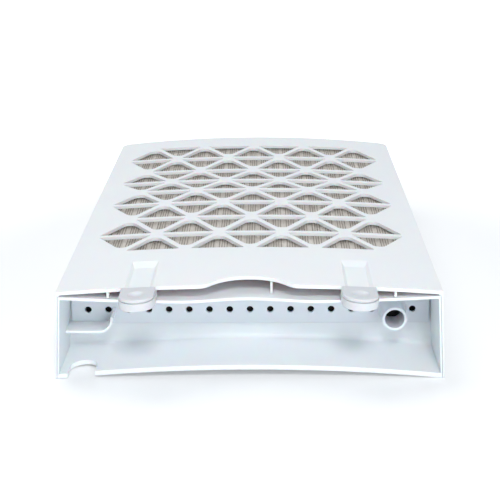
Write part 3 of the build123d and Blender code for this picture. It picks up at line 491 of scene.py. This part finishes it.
# ---- Screws: zinc-plated pan heads with a cross recess and a coarse thread for plastic.
# Six hold the back grid, two the trough, two the drain tray and four the latch guides.
def screw_tree(material):
    """One pan-head screw, its head below the seat, copied to each point with one turn for all."""
    tree = bpy.data.node_groups.new("pan_head_screw", "GeometryNodeTree")
    given = tree_inputs(tree, (
        ("Geometry", "NodeSocketGeometry", None), ("Head Radius", "NodeSocketFloat", 0.003),
        ("Head Height", "NodeSocketFloat", 0.0018), ("Shank Radius", "NodeSocketFloat", 0.00145),
        ("Length", "NodeSocketFloat", 0.011), ("Thread Pitch", "NodeSocketFloat", 0.0011),
        ("Tilt", "NodeSocketFloat", 0.0), ("Lean", "NodeSocketFloat", 0.0))).outputs
    pan = tree.nodes.new("GeometryNodeMeshCylinder")
    link_all(tree, pan, Vertices=24, Side_Segments=1, Fill_Segments=1, Radius=given["Head Radius"],
             Depth=given["Head Height"])
    dome = tree.nodes.new("GeometryNodeMeshUVSphere")
    link_all(tree, dome, Segments=24, Rings=16, Radius=1.0)
    shape_dome = tree.nodes.new("GeometryNodeTransform")
    tree.links.new(dome.outputs["Mesh"], shape_dome.inputs["Geometry"])
    girth = calc(tree, "MULTIPLY", given["Head Radius"], 1.12)
    tree.links.new(vector(tree, girth, girth, given["Head Height"]), shape_dome.inputs["Scale"])
    seat_pan = tree.nodes.new("GeometryNodeTransform")
    tree.links.new(pan.outputs["Mesh"], seat_pan.inputs["Geometry"])
    tree.links.new(vector(tree, z=calc(tree, "MULTIPLY", given["Head Height"], -0.5)),
                   seat_pan.inputs["Translation"])
    head = tree.nodes.new("GeometryNodeMeshBoolean")
    head.operation = "INTERSECT"
    tree.links.new(seat_pan.outputs["Geometry"], head.inputs["Mesh 2"])
    tree.links.new(shape_dome.outputs["Geometry"], head.inputs["Mesh 2"])
    recess = tree.nodes.new("GeometryNodeMeshBoolean")
    recess.operation = "DIFFERENCE"
    tree.links.new(head.outputs["Mesh"], recess.inputs["Mesh 1"])
    long_arm = calc(tree, "MULTIPLY", given["Head Radius"], 1.1)
    slim = calc(tree, "MULTIPLY", given["Head Radius"], 0.24)
    deep = calc(tree, "MULTIPLY", given["Head Height"], 1.2)
    for arms in ((long_arm, slim), (slim, long_arm)):
        arm = tree.nodes.new("GeometryNodeMeshCube")
        tree.links.new(vector(tree, arms[0], arms[1], deep), arm.inputs["Size"])
        drop = tree.nodes.new("GeometryNodeTransform")
        tree.links.new(arm.outputs["Mesh"], drop.inputs["Geometry"])
        tree.links.new(vector(tree, z=calc(tree, "MULTIPLY", given["Head Height"], -1)),
                       drop.inputs["Translation"])
        tree.links.new(drop.outputs["Geometry"], recess.inputs["Mesh 2"])
    core_radius = calc(tree, "MULTIPLY", given["Shank Radius"], 0.8)
    core = tree.nodes.new("GeometryNodeMeshCylinder")
    link_all(tree, core, Vertices=16, Side_Segments=1, Fill_Segments=1, Radius=core_radius,
             Depth=given["Length"])
    lift = tree.nodes.new("GeometryNodeTransform")
    tree.links.new(core.outputs["Mesh"], lift.inputs["Geometry"])
    tree.links.new(vector(tree, z=calc(tree, "MULTIPLY", given["Length"], 0.5)), lift.inputs["Translation"])
    helix = tree.nodes.new("GeometryNodeCurveSpiral")
    ridge = calc(tree, "MULTIPLY", given["Shank Radius"], 0.22)
    wound = calc(tree, "MULTIPLY", given["Shank Radius"], 0.78)
    link_all(tree, helix, Resolution=12, Start_Radius=wound, End_Radius=wound,
             Rotations=calc(tree, "DIVIDE", calc(tree, "MULTIPLY", given["Length"], 0.85),
                            given["Thread Pitch"]),
             Height=calc(tree, "MULTIPLY", given["Length"], 0.85))
    raise_thread = tree.nodes.new("GeometryNodeTransform")
    tree.links.new(thread_bundle(tree, helix.outputs["Curve"], ridge, 4), raise_thread.inputs["Geometry"])
    tree.links.new(vector(tree, z=calc(tree, "MULTIPLY", given["Length"], 0.1)),
                   raise_thread.inputs["Translation"])
    whole = tree.nodes.new("GeometryNodeJoinGeometry")
    for source in (recess.outputs["Mesh"], lift.outputs["Geometry"], raise_thread.outputs["Geometry"]):
        tree.links.new(source, whole.inputs["Geometry"])
    copies = tree.nodes.new("GeometryNodeInstanceOnPoints")
    tree.links.new(given["Geometry"], copies.inputs["Points"])
    tree.links.new(whole.outputs["Geometry"], copies.inputs["Instance"])
    tree.links.new(vector(tree, given["Tilt"], given["Lean"], 0.0), copies.inputs["Rotation"])
    real = tree.nodes.new("GeometryNodeRealizeInstances")
    tree.links.new(copies.outputs["Instances"], real.inputs["Geometry"])
    tree.links.new(paint_in_tree(tree, real.outputs["Geometry"], material),
                   tree.nodes.new("NodeGroupOutput").inputs["Geometry"])
    return tree


zinc, zinc_tree, zinc_bsdf = shader("zinc_plate", (0.62, 0.63, 0.65), 0.32, 0.5)
zinc_bsdf.inputs["Metallic"].default_value = 1.0
tint(zinc_tree, zinc_bsdf, speckle(zinc_tree, 400, 4), (0.52, 0.53, 0.55), (0.70, 0.71, 0.72))
spread(zinc_tree, speckle(zinc_tree, 900, 3), 0.26, 0.42, zinc_bsdf.inputs["Roughness"])
screws = screw_tree(zinc)


def drive(name, seats, head_radius, head_height, shank_radius, length, pitch, tilt=0.0, lean=0.0):
    """One row of screws on its seats, as one plain mesh."""
    raw = bpy.data.objects.new(name + "_raw", bpy.data.meshes.new(name + "_raw"))
    raw.data.from_pydata(seats, [], [])
    bpy.context.scene.collection.objects.link(raw)
    modifier = raw.modifiers.new("driven", "NODES")
    modifier.node_group = screws
    sizes = {"Head Radius": head_radius, "Head Height": head_height, "Shank Radius": shank_radius,
             "Length": length, "Thread Pitch": pitch, "Tilt": tilt, "Lean": lean}
    for item in screws.interface.items_tree:
        if item.in_out == "INPUT" and item.name in sizes:
            modifier[item.identifier] = sizes[item.name]
    return settle(raw, name, 30)


HEAD_R, HEAD_H, SHANK_R, THREAD_PITCH = 0.003, 0.0018, 0.00145, 0.0011
for name, node, rows in (("back_grid_screws", "frame_screws", 3), ("trough_lug_screws", "trough_screws", 1)):
    low, high = (Vector(corner_point) for corner_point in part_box(node))
    stations = [low.y + HEAD_R + k * (high.y - low.y - 2 * HEAD_R) / max(rows - 1, 1) for k in range(rows)]
    seats = [(x, y, low.z + HEAD_H) for x in (low.x + HEAD_R, high.x - HEAD_R) for y in stations]
    piece = drive(name, seats, HEAD_R, HEAD_H, SHANK_R, high.z - low.z - HEAD_H, THREAD_PITCH)
    fit_piece(piece, "cassette", zinc, "screw_steel", node)

low, high = (Vector(corner_point) for corner_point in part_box("tray_screws"))
seats = [(x, low.y + HEAD_H, (low.z + high.z) / 2) for x in (low.x + HEAD_R, high.x - HEAD_R)]
piece = drive("tray_boss_screws", seats, HEAD_R, HEAD_H, SHANK_R,
              high.y - low.y - HEAD_H, THREAD_PITCH, tilt=-math.pi / 2)
fit_piece(piece, "cassette", zinc, "screw_steel", "tray_screws")

LATCH_X, GUIDE_SCREW_OUT = 0.0683, 0.0147
GUIDE_HEAD_R, GUIDE_HEAD_H, GUIDE_SHANK_R, GUIDE_SHANK = 0.0019, 0.0012, 0.00095, 0.003
GUIDE_PITCH, GUIDE_LIFT = 0.0008, 0.0001
low, high = (Vector(corner_point) for corner_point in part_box("guide_screws"))
lean = math.asin(LATCH_X / arch_radius)
row_y = (low.y + high.y) / 2
pairs = []
for side in (-1, 1):
    seats = []
    for way in (-1, 1):
        x = side * LATCH_X + way * GUIDE_SCREW_OUT
        is_outer = side == way
        head_low = low.z + (0 if is_outer else GUIDE_SCREW_OUT * 2 * math.sin(lean))
        seats.append((x, row_y, head_low + GUIDE_HEAD_H + GUIDE_LIFT))
    pairs.append(drive(f"guide_screws_{'left' if side < 0 else 'right'}", seats,
                       GUIDE_HEAD_R, GUIDE_HEAD_H, GUIDE_SHANK_R, GUIDE_SHANK - GUIDE_LIFT, GUIDE_PITCH,
                       lean=side * lean))
joined = bmesh.new()
for pair in pairs:
    joined.from_mesh(pair.data)
    bpy.data.objects.remove(pair)
guide_mesh = bpy.data.meshes.new("guide_flange_screws")
joined.to_mesh(guide_mesh)
joined.free()
guide_mesh.set_sharp_from_angle(angle=math.radians(30))
guide_piece = bpy.data.objects.new("guide_flange_screws", guide_mesh)
bpy.context.scene.collection.objects.link(guide_piece)
fit_piece(guide_piece, "cassette", zinc, "screw_steel", "guide_screws")

# ---- Floor, lights and camera: a white table with a painted glow, one frontal key lamp and cool soft fill.
# The camera stands 0.32 m above the table and looks 18 degrees down at the trough end.
camera_data = bpy.data.cameras.new("camera")
camera_data.lens = 90.89
camera_data.sensor_width = 36
camera = bpy.data.objects.new("camera", camera_data)
bpy.context.scene.collection.objects.link(camera)
camera.matrix_world = (
    Matrix.Translation((0.01201, -0.930594, 0.32432))
    @ Matrix.Rotation(0.014956, 4, "Z")
    @ Matrix.Rotation(math.radians(72), 4, "X")
    @ Matrix.Rotation(-0.008585, 4, "Z")
)
bpy.context.scene.camera = camera
bpy.context.scene.view_settings.view_transform = "Standard"


def lamp(name, at, aim, size, power, colour=(1, 1, 1)):
    """A square soft box at a place, turned to an aim point."""
    data = bpy.data.lights.new(name, "AREA")
    data.size = size
    data.energy = power
    data.color = colour
    lamp_object = bpy.data.objects.new(name, data)
    bpy.context.scene.collection.objects.link(lamp_object)
    lamp_object.location = at
    lamp_object.rotation_euler = (Vector(aim) - Vector(at)).to_track_quat("-Z", "Y").to_euler()


lamp("key_box", (0.1, -1.5, 1.24), (0, -0.1, 0.03), 0.38, 14.5)
lamp("top_box", (-0.5, 0.9, 1.9), (-0.1, 0.5, 0.0), 1.6, 19)
lamp("front_box", (0.9, -2.4, 0.5), (0, -0.2, 0.04), 1.2, 15, (0.9, 0.95, 1.0))

world = bpy.data.worlds.new("studio")
bpy.context.scene.world = world
world.use_nodes = True
world.node_tree.nodes["Background"].inputs["Color"].default_value = (0.88, 0.94, 1.0, 1)
world.node_tree.nodes["Background"].inputs["Strength"].default_value = 0.5

floor_mesh = bpy.data.meshes.new("floor")
FLOOR_HALF = 8.0
floor_mesh.from_pydata(
    [(-FLOOR_HALF, -FLOOR_HALF, 0), (FLOOR_HALF, -FLOOR_HALF, 0),
     (FLOOR_HALF, FLOOR_HALF, 0), (-FLOOR_HALF, FLOOR_HALF, 0)], [], [(0, 1, 2, 3)])
floor = bpy.data.objects.new("floor", floor_mesh)
bpy.context.scene.collection.objects.link(floor)
floor_material, floor_tree, floor_bsdf = shader("floor_white", (0.92, 0.92, 0.92), 0.3, 0.3)
floor_bsdf.inputs["Emission Color"].default_value = (1, 1, 1, 1)
# The floor glows more the farther it is from the cassette: painted light that whitens the backdrop, weakest
# close round the cassette so that painted shade stays under its front.
away = floor_tree.nodes.new("ShaderNodeTexCoord")
reach = floor_tree.nodes.new("ShaderNodeVectorMath")
reach.operation = "LENGTH"
floor_tree.links.new(away.outputs["Object"], reach.inputs[0])
painted_floor_glow = floor_tree.nodes.new("ShaderNodeMapRange")
painted_floor_glow.interpolation_type = "SMOOTHSTEP"
for label, value in (("From Min", 0.2), ("From Max", 0.45), ("To Min", 0.08), ("To Max", 0.5)):
    painted_floor_glow.inputs[label].default_value = value
floor_tree.links.new(reach.outputs["Value"], painted_floor_glow.inputs["Value"])
floor_tree.links.new(painted_floor_glow.outputs["Result"], floor_bsdf.inputs["Emission Strength"])
floor_mesh.materials.append(floor_material)
